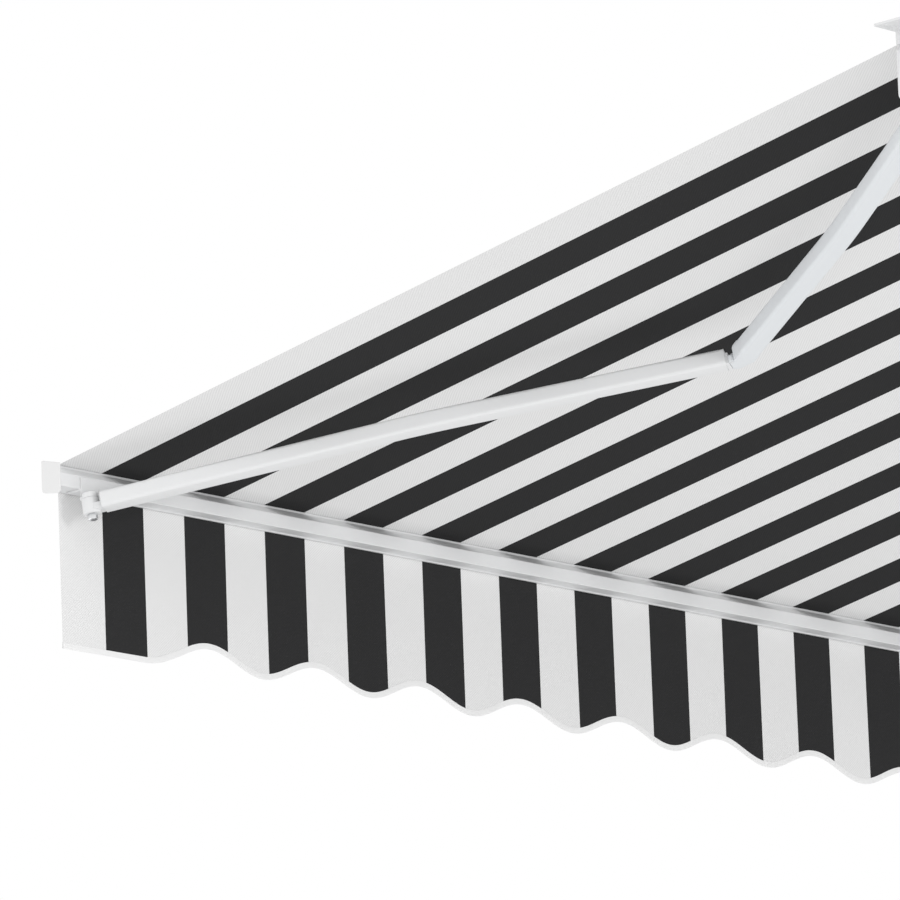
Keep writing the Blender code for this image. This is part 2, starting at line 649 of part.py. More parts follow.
def front_bar():
    outer = [
        (BAR_BACK, -0.0434), (BAR_BACK, -0.0224), (0.0044, -0.0042), (0.0044, -0.0010), (0.0001, -0.0010),
        (0.0001, 0.0022), (BAR_FRONT, 0.0022), (BAR_FRONT, LIP_Z), (0.0060, LIP_Z), (0.0060, -0.0438),
    ]
    chamber = [
        (0.0343, -0.0412), (0.0343, -0.0238), (0.0060, -0.0078), (-0.0018, -0.0078),
        (-0.0018, -0.0368), (0.0048, -0.0368), (0.0062, -0.0412),
    ]
    bar = plate("front_bar", [outer, chamber], 2 * BAR_HALF, ACROSS)
    place(bar, WHITE, parent=FRONT)
    far = BAR_HALF + 0.01
    cut(
        bar,
        rod("canopy_channel", (-far, CHANNEL_Y, CHANNEL_Z), (far, CHANNEL_Y, CHANNEL_Z), CHANNEL_R, 24),
        rod("valance_channel", (-far, 0, VALANCE_Z), (far, 0, VALANCE_Z), CHANNEL_R, 24),
        box("valance_mouth", (-far, -0.0011, -0.06), (far, 0.0011, VALANCE_Z)),
    )
    front_y, back_y, low = -0.0042, 0.0372, -0.0506
    for name, side in SIDES:
        outline = [(back_y, -0.0062), (0.0005, 0.0030), (front_y + 0.002, 0.0030), (front_y, 0.0010)]
        outline += arc((front_y + 0.006, low + 0.006), 0.006, 180, 262, 5)
        outline += arc((back_y - 0.004, low - 0.0022), 0.006, 275, 356, 5)
        middle = side * (BAR_HALF + GAP + CAP_T / 2)
        cap = plate(f"bar_end_cap_{name}", [outline], CAP_T, basis((0, 1, 0), (0, 0, 1), (1, 0, 0), (middle, 0, 0)))
        place(cap, PLASTIC, parent=FRONT)
        plug = [(0.0335, -0.0404), (0.0335, -0.0246), (0.0070, -0.0098), (0.0070, -0.0404)]
        join(cap, plate("plug", [plug], 0.016, basis((0, 1, 0), (0, 0, 1), (1, 0, 0), (side * (BAR_HALF - 0.007), 0, 0))))


def keder_rods():
    half = HALF_CLOTH - 0.001
    for name, y, z in (("canopy_hem_rod", CHANNEL_Y, CHANNEL_Z), ("valance_hem_rod", 0, VALANCE_Z)):
        place(rod(name, (-half, y, z), (half, y, z), ROD_R, 16), PLASTIC, parent=FRONT)


def bar_knuckle(name, side):
    """Angle on the bar's back and underside with a boss above the arm's eye, its bolt and nut."""
    y0, thick = BAR_BACK + GAP, 0.004
    x = side * ARM_X
    x_low, x_high = sorted((x + side * 0.0065, x - side * 0.0350))
    bracket = box(f"bar_bracket_{name}", (x_low, y0, -0.0560), (x_high, y0 + thick, -0.0245))
    place(bracket, WHITE, parent=FRONT)
    join(bracket, box("foot", (x_low + 0.0004, 0.0085, -0.0475), (x_high - 0.0004, y0 + 0.002, -0.0441)))
    up = Vector((0, -SIN_P, COS_P))
    eye_y, eye_z = slope_to_hem(PIN_TO_HEM, CLOTH_ABOVE_ARMS)
    eye = Vector((x, eye_y, eye_z))
    boss_top = EYE_H / 2 + 0.0130
    bottom_cut = box("below_boss", (-0.1, -0.1, -0.1), (0.1, 0.1, EYE_H / 2 + GAP))
    bottom_cut.location = eye
    bottom_cut.rotation_euler = (PITCH, 0, 0)
    join(bracket, rod("boss", eye + up * (EYE_H / 2), eye + up * boss_top, 0.0147, 36))
    cut(bracket, bottom_cut, rod("bore", eye - up * 0.05, eye + up * 0.06, KNUCKLE_PIN_R + RUN))
    radius = KNUCKLE_PIN_R if side > 0 else KNUCKLE_PIN_R - 0.0004
    top = eye + up * (boss_top + GAP)
    bottom = eye - up * (EYE_H / 2 + GAP)
    bolt = rod(f"knuckle_bolt_{name}", top + up * 0.002, bottom - up * 0.0127, radius)
    place(bolt, STEEL, parent=FRONT)
    join(bolt, rod("head", top, top + up * 0.0040, 0.0072, 28, 0.0060))
    nut = hexagon(f"knuckle_nut_{name}", bottom, bottom - up * 0.0110, 0.013)
    place(nut, STEEL, parent=FRONT)
    cut(nut, rod("bore", eye - up * 0.06, eye, radius + GAP))


# ---------------------------------------------------------------- cloth
def loop_ring(centre, sides=20):
    return [arc(centre, radius, 0, 360 - 360 / sides, sides - 1) for radius in (LOOP_OUT, LOOP_IN)]


def canopy():
    """Flat taut cloth from the front bar's channel to the top of the roll, its hem round the rod."""
    half = CLOTH_T / 2
    sheet = [slope_to_hem(s, h) for s, h in ((0.0006, -half), (ROLLER_S, -half), (ROLLER_S, half), (0.0006, half))]
    cloth = plate("canopy_cloth", [sheet], 2 * HALF_CLOTH, ACROSS)
    place(cloth, CLOTH, parent=FRONT)
    join(cloth, plate("hem", loop_ring((CHANNEL_Y, CHANNEL_Z)), 2 * HALF_CLOTH - 0.001, ACROSS))


def hem_height(x):
    """Height of the valance's lower edge: a flat start, then a cosine wave, flat at the far end."""
    along = (STRIPES_BETWEEN + 2) / 2 - x / STRIPE
    wave = -VALANCE_DROP - SCALLOP * math.cos(2 * math.pi * (along - SCALLOP_START) / SCALLOP_PERIOD)
    last = SCALLOP_START + 8 * SCALLOP_PERIOD
    reach = min(max((along - 1.95) / 0.60, 0), 1) * min(max((last + 0.30 - along) / 0.60, 0), 1)
    blend = reach * reach * (3 - 2 * reach)
    return STRIPE * (-FLAT_DROP * (1 - blend) + wave * blend)


def valance():
    """Hanging front strip: plain sheet with a scalloped lower edge, its top hem round the rod."""
    steps = 170
    edge = [(HALF_CLOTH - 2 * HALF_CLOTH * i / steps) for i in range(steps + 1)]
    top = VALANCE_Z - LOOP_OUT - 0.0010
    line = [(x, hem_height(x)) for x in edge]
    outline = line[:1]
    for before, point, after in zip(line, line[1:], line[2:]):
        if max(abs(point[1] - before[1]), abs(after[1] - point[1])) > 0.00002:
            outline.append(point)
    outline += [line[-1], (-HALF_CLOTH, top), (HALF_CLOTH, top)]
    cloth = plate("valance_cloth", [outline], VALANCE_T, basis((1, 0, 0), (0, 0, 1), (0, -1, 0)))
    place(cloth, CLOTH, parent=FRONT)
    tail, foot = 0.00031, top - 0.0020
    hem = arc((0, VALANCE_Z), LOOP_OUT, -82, 262, 22) + [(-tail, foot), (tail, foot)]
    inner = arc((0, VALANCE_Z), LOOP_IN, 0, 342, 19)
    join(cloth, plate("hem", [hem, inner], 2 * HALF_CLOTH - 0.001, ACROSS))


torsion_bar()
roller()
gearbox()
front_bar()
keder_rods()
canopy()
valance()
for side_name, side_sign in SIDES:
    end_bracket(side_name, side_sign)
    shoulder(side_name, side_sign)
    arm(side_name, side_sign)
    bar_knuckle(side_name, side_sign)
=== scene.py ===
"""Looks of a folding-arm patio awning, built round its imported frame: striped canopy and valance,
powder-coated bar, arms and brackets. Metres, +Z up, wall plane at y = 0."""

import json
import math

import bpy
import numpy as np
from mathutils import Matrix, Vector


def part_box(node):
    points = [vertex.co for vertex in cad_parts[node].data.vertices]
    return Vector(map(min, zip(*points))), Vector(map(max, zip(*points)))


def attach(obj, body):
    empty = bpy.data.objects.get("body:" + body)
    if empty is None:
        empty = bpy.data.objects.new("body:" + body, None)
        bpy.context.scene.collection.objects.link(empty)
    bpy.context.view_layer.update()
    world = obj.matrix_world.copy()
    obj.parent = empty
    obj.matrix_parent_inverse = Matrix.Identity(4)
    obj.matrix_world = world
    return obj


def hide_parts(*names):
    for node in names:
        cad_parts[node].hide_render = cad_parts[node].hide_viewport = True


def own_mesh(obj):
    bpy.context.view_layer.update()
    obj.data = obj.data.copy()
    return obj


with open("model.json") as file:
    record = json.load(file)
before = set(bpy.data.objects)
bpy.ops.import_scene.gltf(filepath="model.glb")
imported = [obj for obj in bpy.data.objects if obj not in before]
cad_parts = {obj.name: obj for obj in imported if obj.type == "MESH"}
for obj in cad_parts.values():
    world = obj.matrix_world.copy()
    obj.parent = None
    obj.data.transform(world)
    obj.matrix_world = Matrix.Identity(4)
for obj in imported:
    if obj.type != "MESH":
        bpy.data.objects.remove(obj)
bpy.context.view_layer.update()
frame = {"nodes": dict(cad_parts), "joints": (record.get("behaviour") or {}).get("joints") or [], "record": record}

bl_info = {
    "name": "Folding-arm awning",
    "version": (1, 0, 0),
    "blender": (4, 5, 0),
    "location": "3D Viewport > Sidebar > Awning",
    "description": "Builds the awning's cloth, bar, arms and brackets on the packed frame",
    "category": "Object",
}

PITCH = math.radians(10.0)
COS_P, SIN_P = math.cos(PITCH), math.sin(PITCH)
STRIPE = 0.096
HALF_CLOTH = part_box("canopy_cloth")[1].x
STRIPES_HALF = 12.5
STRIPE_SHIFT = HALF_CLOTH - STRIPES_HALF * STRIPE   # side edge of the cloth to the first stripe
DARK_FROM, DARK_TO = 1.0, 24.0                      # the outermost stripe on each side stays white
ROLL_R = 0.028
ROLL_INNER_R = 0.0253
ROLL_SEAM = 2.6                                     # angle at which the roll's last turn ends
CLOTH_THICKNESS = 0.0006
EYE_R = 0.0146
TUBE_WIDTH, TUBE_HEIGHT, TUBE_CORNER, TUBE_WALL = 0.040, 0.028, 0.006, 0.002
TUBE_BEND = 0.06                                    # length of the bend on each side of its corner
VALANCE_TOP = -0.0436                               # where the valance leaves the bar's channel
# the valance's edge, in stripes: drop of its flat ends, then the wave's first low point and period
FLAT_DROP, SCALLOP_START, SCALLOP_PERIOD, SCALLOPS = 3.195, 2.206, 2.6495, 8
NORMAL = np.array([0.0, -SIN_P, COS_P])             # square to the arms' plane


def joint_at(name):
    """A joint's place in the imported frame."""
    return Vector(next(j for j in frame["joints"] if j["name"] == name)["pos_m"])


KNUCKLE = joint_at("right_front_pivot")
SHOULDER = joint_at("right_shoulder")
ELBOW = joint_at("right_elbow")
ROLLER = joint_at("roller_spin")
PIN_TO_HEM, CLOTH_ABOVE_ARMS = 0.0407, 0.0816
BAR_BACK = 0.0365
HEM_Y = KNUCKLE.y - PIN_TO_HEM * COS_P - CLOTH_ABOVE_ARMS * SIN_P
HEM_Z = KNUCKLE.z - PIN_TO_HEM * SIN_P + CLOTH_ABOVE_ARMS * COS_P
SIDES = (("right", 1), ("left", -1))


def arm_points(side):
    """Shoulder, elbow and knuckle of one arm; the left arm is the right one mirrored in x."""
    mirror = np.array([side, 1, 1])
    return tuple(np.array(point) * mirror for point in (SHOULDER, ELBOW, KNUCKLE))


def arm_axes(start, end, side):
    """Unit vector from start to end, and the one at right angles to it in the arms' plane."""
    along = (end - start) / np.linalg.norm(end - start)
    return along, np.cross(along, NORMAL) * side


# ------------------------------------------------------------------------------- meshes
def mesh_object(name, verts, faces, uv=None, smooth=True, sharp=None):
    """A mesh from an array of points and an array of quads; uv has one pair for each point."""
    mesh = bpy.data.meshes.new(name)
    faces = np.asarray(faces)
    mesh.vertices.add(len(verts))
    mesh.vertices.foreach_set("co", np.asarray(verts, np.float32).ravel())
    mesh.loops.add(faces.size)
    mesh.loops.foreach_set("vertex_index", faces.ravel().astype(np.int32))
    mesh.polygons.add(len(faces))
    mesh.polygons.foreach_set("loop_start", np.arange(0, faces.size, faces.shape[1], dtype=np.int32))
    mesh.update(calc_edges=True)
    mesh.validate()
    if uv is not None:
        layer = mesh.uv_layers.new(name="UVMap")
        layer.data.foreach_set("uv", np.asarray(uv, np.float32)[faces.ravel()].ravel())
    if smooth:
        mesh.shade_smooth()
        if sharp is not None:
            mesh.set_sharp_from_angle(angle=math.radians(sharp))
    obj = bpy.data.objects.new(name, mesh)
    bpy.context.scene.collection.objects.link(obj)
    return obj


def grid_faces(rows, columns, close_rows=False, close_columns=False):
    """Quads of a grid whose points are numbered row by row."""
    i = np.arange(rows if close_rows else rows - 1)[:, None]
    j = np.arange(columns if close_columns else columns - 1)[None, :]
    a, b = i, (i + 1) % rows
    c, d = j, (j + 1) % columns
    return np.stack([a * columns + c, a * columns + d, b * columns + d, b * columns + c], -1).reshape(-1, 4)


def round_outline(outline, radii, steps=5):
    """Each corner of an outline replaced by a weighted quadratic curve that touches both sides where
    an arc of its radius would, r / tan(half the angle) away, at most 0.48 of the shorter side."""
    pts = np.array(outline, float)
    radii = np.broadcast_to(np.asarray(radii, float), (len(pts),))
    before, after = np.roll(pts, 1, 0) - pts, np.roll(pts, -1, 0) - pts
    lb, la = np.linalg.norm(before, axis=1), np.linalg.norm(after, axis=1)
    ub, ua = before / lb[:, None], after / la[:, None]
    angle = np.arccos(np.clip((ub * ua).sum(1), -0.9999, 0.9999))
    reach = np.minimum(radii / np.tan(angle / 2), 0.48 * np.minimum(lb, la))
    t = np.linspace(0, 1, steps + 1)[None, :, None]
    start, end = pts + ub * reach[:, None], pts + ua * reach[:, None]
    weight = np.maximum(np.sin(angle / 2)[:, None, None], 0.2)
    a, b, c = (1 - t) ** 2, 2 * t * (1 - t) * weight, t ** 2
    curve = (a * start[:, None] + b * pts[:, None] + c * end[:, None]) / (a + b + c)
    return curve.reshape(-1, 2)


def extrusion(name, outline, x0, x1, hollow=None, cuts=60):
    """An outline in y and z carried along x; with a hollow of as many points, its ends are rings."""
    ring = np.array(outline)
    n = len(ring)
    xs = np.linspace(x0, x1, cuts)
    length = np.r_[0, np.cumsum(np.linalg.norm(np.diff(ring, axis=0), axis=1))]

    def shell(points):
        """The points repeated at every cut along x."""
        verts = np.empty((cuts, len(points), 3))
        verts[..., 0] = xs[:, None]
        verts[..., 1:] = points[None]
        return verts.reshape(-1, 3)

    outer = shell(ring)
    uv = np.stack(np.meshgrid(xs, length, indexing="ij"), -1).reshape(-1, 2)
    faces = grid_faces(cuts, n, close_columns=True)
    if hollow is None:
        return mesh_object(name, outer, faces[:, ::-1], uv, sharp=35)
    inner = shell(np.array(hollow))
    verts = np.vstack([outer, inner])
    uv = np.vstack([uv, uv])
    j = np.arange(n)
    k = (j + 1) % n
    total = cuts * n
    first = np.stack([j, k, total + k, total + j], -1)
    far = (cuts - 1) * n
    last = np.stack([far + j, total + far + j, total + far + k, far + k], -1)
    faces = np.vstack([faces[:, ::-1], faces + total, first, last])
    return mesh_object(name, verts, faces, uv, sharp=35)


def anticlockwise(line):
    """The outline, reversed where the sum of its cross products is negative."""
    area = np.sum(line[:, 0] * np.roll(line[:, 1], -1) - np.roll(line[:, 0], -1) * line[:, 1])
    return line[::-1] if area < 0 else line


def inset(points, amount):
    """A closed outline moved inwards along each point's mean normal."""
    p = np.array(points)
    tangent = np.roll(p, -1, 0) - np.roll(p, 1, 0)
    tangent /= np.maximum(np.linalg.norm(tangent, axis=1), 1e-9)[:, None]
    normal = np.stack([-tangent[:, 1], tangent[:, 0]], -1)
    area = 0.5 * np.sum(p[:, 0] * np.roll(p[:, 1], -1) - np.roll(p[:, 0], -1) * p[:, 1])
    return p + normal * amount * (1 if area > 0 else -1)


def pillow_plate(name, outline, x_back, x_face, radius, steps=6):
    """A plate whose face edge is a quarter circle: rings of the outline, each moved in by
    r(1 - cos a) and forwards by r sin a, and closed by ever smaller rings."""
    side = 1 if x_face > x_back else -1
    rings, xs = [np.array(outline)], [x_back]
    a = np.linspace(0, math.pi / 2, steps + 1)
    for move, rise in zip(radius * (1 - np.cos(a)), radius * np.sin(a)):
        rings.append(inset(outline, move))
        xs.append(x_face - side * (radius - rise))
    centre = rings[-1].mean(0)
    for share in (0.85, 0.55, 0.02):
        rings.append(centre + (rings[-1] - centre) * share)
        xs.append(x_face)
    rings.insert(0, centre + (rings[0] - centre) * 0.02)
    xs.insert(0, x_back)
    ring = np.stack(rings)
    verts = np.concatenate([np.broadcast_to(np.array(xs)[:, None, None], (*ring.shape[:2], 1)), ring], -1)
    faces = grid_faces(len(rings), ring.shape[1], close_columns=True)
    uv = verts.reshape(-1, 3)[:, 1:]
    if side < 0:
        faces = faces[:, ::-1]
    return mesh_object(name, verts.reshape(-1, 3), faces, uv, sharp=40)


def slope_point(x, s, h):
    """x, up the slope from the hem and below the cloth, to the row frame."""
    x, s, h = np.broadcast_arrays(x, s, h)
    return np.stack([x, HEM_Y + s * COS_P + h * SIN_P, HEM_Z + s * SIN_P - h * COS_P], -1)


def swept_tube(name, points, along_steps=48):
    """A rounded rectangle carried along a bent line in the plane of the arms, with a wall and open
    ends. The bend is a quadratic curve 120 mm long between two straight lines."""
    start, bend, end = (np.array(p, float) for p in points)
    first, second = bend - start, end - bend
    first, second = first / np.linalg.norm(first), second / np.linalg.norm(second)
    a, b = bend - first * TUBE_BEND, bend + second * TUBE_BEND
    t = np.linspace(0, 1, 17)[:, None]
    curve = a * (1 - t) ** 2 + 2 * bend * t * (1 - t) + b * t ** 2
    u = np.linspace(0, 1, along_steps)[:, None]
    line = np.vstack([start + (a - start) * u[:-1], curve, b + (end - b) * u[1:]])
    tangent = np.gradient(line, axis=0)
    tangent /= np.linalg.norm(tangent, axis=1)[:, None]
    side = np.cross(NORMAL, tangent)
    length = np.r_[0, np.cumsum(np.linalg.norm(np.diff(line, axis=0), axis=1))]
    hw, hh = TUBE_WIDTH / 2, TUBE_HEIGHT / 2

    def section(inward):
        """The rounded rectangle, moved in by a distance."""
        w, h = hw - inward, hh - inward
        return round_outline([(w, h), (-w, h), (-w, -h), (w, -h)], TUBE_CORNER - inward * 0.9, 6)

    def shell(sec):
        """A section carried along the line, side by side and square to the arms' plane."""
        return (line[:, None] + side[:, None] * sec[None, :, :1] + NORMAL * sec[None, :, 1:]).reshape(-1, 3)

    outer_sec, inner_sec = section(0.0), section(TUBE_WALL)
    n = len(outer_sec)
    rows = len(line)
    around = np.r_[0, np.cumsum(np.linalg.norm(np.diff(outer_sec, axis=0), axis=1))]
    uv = np.stack(np.meshgrid(length, around, indexing="ij"), -1).reshape(-1, 2)
    faces = grid_faces(rows, n, close_columns=True)
    total = rows * n
    j = np.arange(n)
    k = (j + 1) % n
    far = (rows - 1) * n
    near_cap = np.stack([j, total + j, total + k, k], -1)
    far_cap = np.stack([far + j, far + k, total + far + k, total + far + j], -1)
    verts = np.vstack([shell(outer_sec), shell(inner_sec)])
    faces = np.vstack([faces, faces[:, ::-1] + total, near_cap, far_cap])
    return mesh_object(name, verts, faces, np.vstack([uv, uv]), sharp=35)


# ------------------------------------------------------------------------------- materials
class Nodes:
    """Short hand for building a node material."""

    def __init__(self, name):
        """A new material that keeps its tree and its Principled shader at hand."""
        self.mat = bpy.data.materials.new(name)
        self.mat.use_nodes = True
        self.tree = self.mat.node_tree
        self.shader = self.tree.nodes["Principled BSDF"]

    def add(self, kind, **values):
        """A node of a kind, with its settings."""
        node = self.tree.nodes.new(kind)
        for key, value in values.items():
            setattr(node, key, value)
        return node

    def link(self, source, target):
        """Joins an output to an input."""
        self.tree.links.new(source, target)

    def math(self, operation, a, b=None, c=None):
        """A Math node of up to three numbers or outputs."""
        node = self.add("ShaderNodeMath", operation=operation)
        for socket, value in zip(node.inputs, (a, b, c)):
            if value is None:
                continue
            if isinstance(value, (int, float)):
                socket.default_value = value
            else:
                self.link(value, socket)
        return node.outputs[0]

    def mix(self, factor, a, b):
        """a * (1 - factor) + b * factor, for colours."""
        node = self.add("ShaderNodeMix", data_type="RGBA")
        for socket, value in ((node.inputs[0], factor), (node.inputs[6], a), (node.inputs[7], b)):
            if isinstance(value, (int, float)):
                socket.default_value = value
            elif isinstance(value, tuple):
                socket.default_value = (*value, 1)
            else:
                self.link(value, socket)
        return node.outputs[2]

    def noise(self, vector, scale, detail=2.0, rough=0.5):
        """Fractal noise, 0 to 1, at a scale in cycles a metre."""
        node = self.add("ShaderNodeTexNoise")
        node.inputs["Scale"].default_value = scale
        node.inputs["Detail"].default_value = detail
        node.inputs["Roughness"].default_value = rough
        self.link(vector, node.inputs["Vector"])
        return node.outputs["Fac"]

    def bump(self, height, strength, distance, normal=None):
        """A normal tilted by the slope of a height."""
        node = self.add("ShaderNodeBump")
        node.inputs["Strength"].default_value = strength
        node.inputs["Distance"].default_value = distance
        self.link(height, node.inputs["Height"])
        if normal is not None:
            self.link(normal, node.inputs["Normal"])
        return node.outputs["Normal"]


def coated(name, colour, roughness, edge=0.0006, metallic=0.0, grain=0.25, scale=900.0, coat=0.0):
    """Powder coat, plastic or plated metal: fine orange peel, slow changes of gloss and soft edges."""
    n = Nodes(name)
    where = n.add("ShaderNodeTexCoord").outputs["Object"]
    fine = n.noise(where, scale, 3.0, 0.6)
    slow = n.noise(where, 6.0, 3.0, 0.5)
    dust = n.noise(where, 45.0, 4.0, 0.6)
    shade = n.mix(n.math("MULTIPLY", slow, 0.35), colour, tuple(c * 0.955 for c in colour))
    shade = n.mix(n.math("MULTIPLY", dust, 0.10), shade, tuple(c * 0.93 for c in colour))
    n.link(shade, n.shader.inputs["Base Color"])
    gloss = n.math("MULTIPLY_ADD", n.math("ADD", fine, slow), 0.06, roughness - 0.06)
    n.link(gloss, n.shader.inputs["Roughness"])
    n.shader.inputs["Metallic"].default_value = metallic
    n.shader.inputs["Specular IOR Level"].default_value = 0.5 if metallic else 0.28
    n.shader.inputs["Coat Weight"].default_value = coat
    bevel = n.add("ShaderNodeBevel", samples=4)
    bevel.inputs["Radius"].default_value = edge
    n.link(n.bump(fine, grain, 0.00006, bevel.outputs["Normal"]), n.shader.inputs["Normal"])
    return n.mat


def cloth(name, look, kind):
    """Woven stripes from the cloth's flat coordinates in metres: u counts from the right edge, v
    up the canopy or down the valance. kind picks rib, twill or plain white tape."""
    n = Nodes(name)
    uv = n.add("ShaderNodeUVMap", uv_map="UVMap").outputs["UV"]
    split = n.add("ShaderNodeSeparateXYZ")
    n.link(uv, split.inputs[0])
    u, v = split.outputs["X"], split.outputs["Y"]
    white, black = tuple(look.white[:3]), tuple(look.black[:3])
    edge_noise = n.noise(uv, 420.0, 2.0)
    yarn = n.noise(uv, 900.0, 3.0, 0.7)
    slow = n.noise(uv, 3.0, 2.0)

    if kind == "tape":
        base = n.mix(n.math("MULTIPLY", slow, 0.2), white, tuple(c * 0.96 for c in white))
        ribs = n.math("SINE", n.math("MULTIPLY", u, 2 * math.pi / 0.0012))
        strength = 0.25
    else:
        count = n.math("DIVIDE", u, STRIPE)
        wobble = n.math("MULTIPLY", n.math("SUBTRACT", edge_noise, 0.5), 0.006)
        count = n.math("ADD", count, wobble)
        half_way = n.math("FRACT", n.math("MULTIPLY", count, 0.5))
        dark = n.math("GREATER_THAN", half_way, 0.5)
        dark = n.math("MULTIPLY", dark, n.math("LESS_THAN", count, DARK_TO))
        dark = n.math("MULTIPLY", dark, n.math("GREATER_THAN", count, DARK_FROM))
        dark = n.math("MULTIPLY", dark, n.math("GREATER_THAN", v, look.hem if kind == "rib" else -1.0))
        light = n.mix(n.math("MULTIPLY", slow, 0.3), white, tuple(c * 0.965 for c in white))
        deep = n.mix(n.math("MULTIPLY", yarn, 0.9), black, tuple(min(1, c * 1.9 + 0.004) for c in black))
        base = n.mix(dark, light, deep)
        # twill: the phase runs across the slanted ribs, bent a little by slow noise
        lean = (0.79, 0.61) if kind == "rib" else (0.66, 0.75)
        slant = n.math("ADD", n.math("MULTIPLY", u, lean[0]), n.math("MULTIPLY", v, lean[1]))
        bend = n.math("MULTIPLY", n.noise(uv, 14.0, 3.0), look.rib * 1.2)
        pitch = look.rib if kind == "rib" else look.rib * 0.8
        ribs = n.math("SINE", n.math("MULTIPLY", n.math("ADD", slant, bend), 2 * math.pi / pitch))
        patchy = n.math("MULTIPLY_ADD", n.noise(uv, 60.0, 2.0), 1.4, 0.1)
        ribs = n.math("MULTIPLY", ribs, patchy)
        tint = n.math("MULTIPLY_ADD", ribs, look.rib_contrast, 1.0 - look.rib_contrast)
        scaled = n.add("ShaderNodeMix", data_type="RGBA", blend_type="MULTIPLY")
        scaled.inputs[0].default_value = 1.0
        grey = n.add("ShaderNodeCombineColor")
        for socket in grey.inputs:
            n.link(tint, socket)
        n.link(base, scaled.inputs[6])
        n.link(grey.outputs[0], scaled.inputs[7])
        base = scaled.outputs[2]
        strength = 0.5
    n.link(base, n.shader.inputs["Base Color"])
    n.shader.inputs["Roughness"].default_value = 0.95
    n.shader.inputs["Specular IOR Level"].default_value = 0.0
    n.shader.inputs["Sheen Weight"].default_value = 0.015
    n.shader.inputs["Sheen Roughness"].default_value = 0.6
    height = n.math("ADD", n.math("MULTIPLY", ribs, 0.5), n.math("MULTIPLY", yarn, 0.8))
    n.link(n.bump(height, strength, 0.0002), n.shader.inputs["Normal"])
    if kind == "rib":
        # the taut cloth lets some of the light above it through
        glow = n.add("ShaderNodeBsdfTranslucent")
        n.link(base, glow.inputs["Color"])
        both = n.add("ShaderNodeMixShader")
        both.inputs[0].default_value = look.see_through
        n.link(n.shader.outputs[0], both.inputs[1])
        n.link(glow.outputs[0], both.inputs[2])
        out = next(node for node in n.tree.nodes if node.type == "OUTPUT_MATERIAL")
        n.link(both.outputs[0], out.inputs["Surface"])
    return n.mat


def dress(obj, material, body=None, replaces=()):
    """Gives a piece its material, the body it rides on and the frame nodes it stands for."""
    obj.data.materials.clear()
    obj.data.materials.append(material)
    if body:
        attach(obj, body)
    if replaces:
        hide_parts(*replaces)
    return obj


def shared(name, maker):
    """The material of that name, made only once."""
    return bpy.data.materials.get(name) or maker()


def white_paint():
    """White powder coat of the bar, the front arms and the brackets."""
    look = bpy.context.scene.awning_metal
    return shared(
        "powder_coat_white", lambda: coated("powder_coat_white", tuple(look.paint[:3]), look.roughness),
    )


def painted_reflection_paint():
    """The same powder coat, made a little cooler on the rear arms by a factor on each channel: a painted bluish
    reflection.
    """
    look = bpy.context.scene.awning_metal
    # the factors paint a bluish reflection into the coat's colour
    tint = tuple(c * t for c, t in zip(look.paint[:3], (0.975, 0.998, 1.018)))
    return shared("powder_coat_painted_reflection", lambda: coated("powder_coat_painted_reflection", tint, look.roughness))


def white_plastic():
    """Moulded white plastic of the end caps."""
    look = bpy.context.scene.awning_metal
    return shared(
        "moulded_plastic_white",
        lambda: coated("moulded_plastic_white", tuple(look.plastic[:3]), 0.42, 0.0008, 0, 0.12, 500.0),
    )


def dark_steel():
    """Oiled steel of the bolts' threads."""
    return shared(
        "thread_steel", lambda: coated("thread_steel", (0.30, 0.30, 0.31), 0.45, 0.0003, 1.0, 0.3, 1600.0),
    )


def plated():
    """Zinc-plated steel of the nuts and pins."""
    return shared(
        "zinc_plated", lambda: coated("zinc_plated", (0.72, 0.73, 0.74), 0.30, 0.0004, 1.0, 0.2, 1400.0),
    )


# ------------------------------------------------------------------------------- settings
def colour(name, description, default):
    """A colour setting."""
    return bpy.props.FloatVectorProperty(
        name=name, description=description, default=default, size=4, min=0, max=1, subtype="COLOR",
    )


class AwningCloth(bpy.types.PropertyGroup):
    """Sizes and colours of the cloth."""

    white: colour("White", "Colour of the white stripes", (0.79, 0.79, 0.79, 1))
    black: colour("Black", "Colour of the dark stripes", (0.0215, 0.0215, 0.0220, 1))
    hem: bpy.props.FloatProperty(
        name="Hem", description="White hem at the front edge of the canopy", default=0.0013, unit="LENGTH",
    )
    rib: bpy.props.FloatProperty(
        name="Rib", description="Spacing of the weave's ribs", default=0.0042, precision=4, unit="LENGTH",
    )
    rib_contrast: bpy.props.FloatProperty(
        name="Rib contrast", description="How much the ribs darken the cloth", default=0.065,
        min=0, max=1,
    )
    see_through: bpy.props.FloatProperty(
        name="See-through", description="Share of the light that comes through the canopy", default=0.42,
        min=0, max=1,
    )
    sag: bpy.props.FloatProperty(
        name="Sag", description="Sag at the middle of the canopy", default=0.0015, precision=4,
        unit="LENGTH",
    )
    drop: bpy.props.FloatProperty(
        name="Drop", description="Middle of the scallops below the hem", default=2.942 * STRIPE,
        unit="LENGTH",
    )
    scallop: bpy.props.FloatProperty(
        name="Scallop", description="Half the height of a scallop", default=0.182 * STRIPE, unit="LENGTH",
    )
    binding: bpy.props.FloatProperty(
        name="Binding", description="Width of the tape along the valance's edge", default=0.010,
        unit="LENGTH",
    )


class AwningMetal(bpy.types.PropertyGroup):
    """Finish of the frame."""

    paint: colour("Paint", "Colour of the powder coat", (0.715, 0.72, 0.725, 1))
    plastic: colour("Plastic", "Colour of the moulded caps", (0.73, 0.73, 0.73, 1))
    roughness: bpy.props.FloatProperty(
        name="Roughness", description="Roughness of the powder coat", default=0.60, min=0, max=1,
    )


class AwningStage(bpy.types.PropertyGroup):
    """Camera, light and floor."""

    lens: bpy.props.FloatProperty(
        name="Lens", description="Focal length in millimetres", default=385.47, min=10,
    )
    floor: bpy.props.FloatProperty(
        name="Floor", description="Height of the floor", default=-4.6, unit="LENGTH",
    )
    sky: bpy.props.FloatProperty(
        name="Sky", description="Strength of the even white light", default=1.0, min=0,
    )


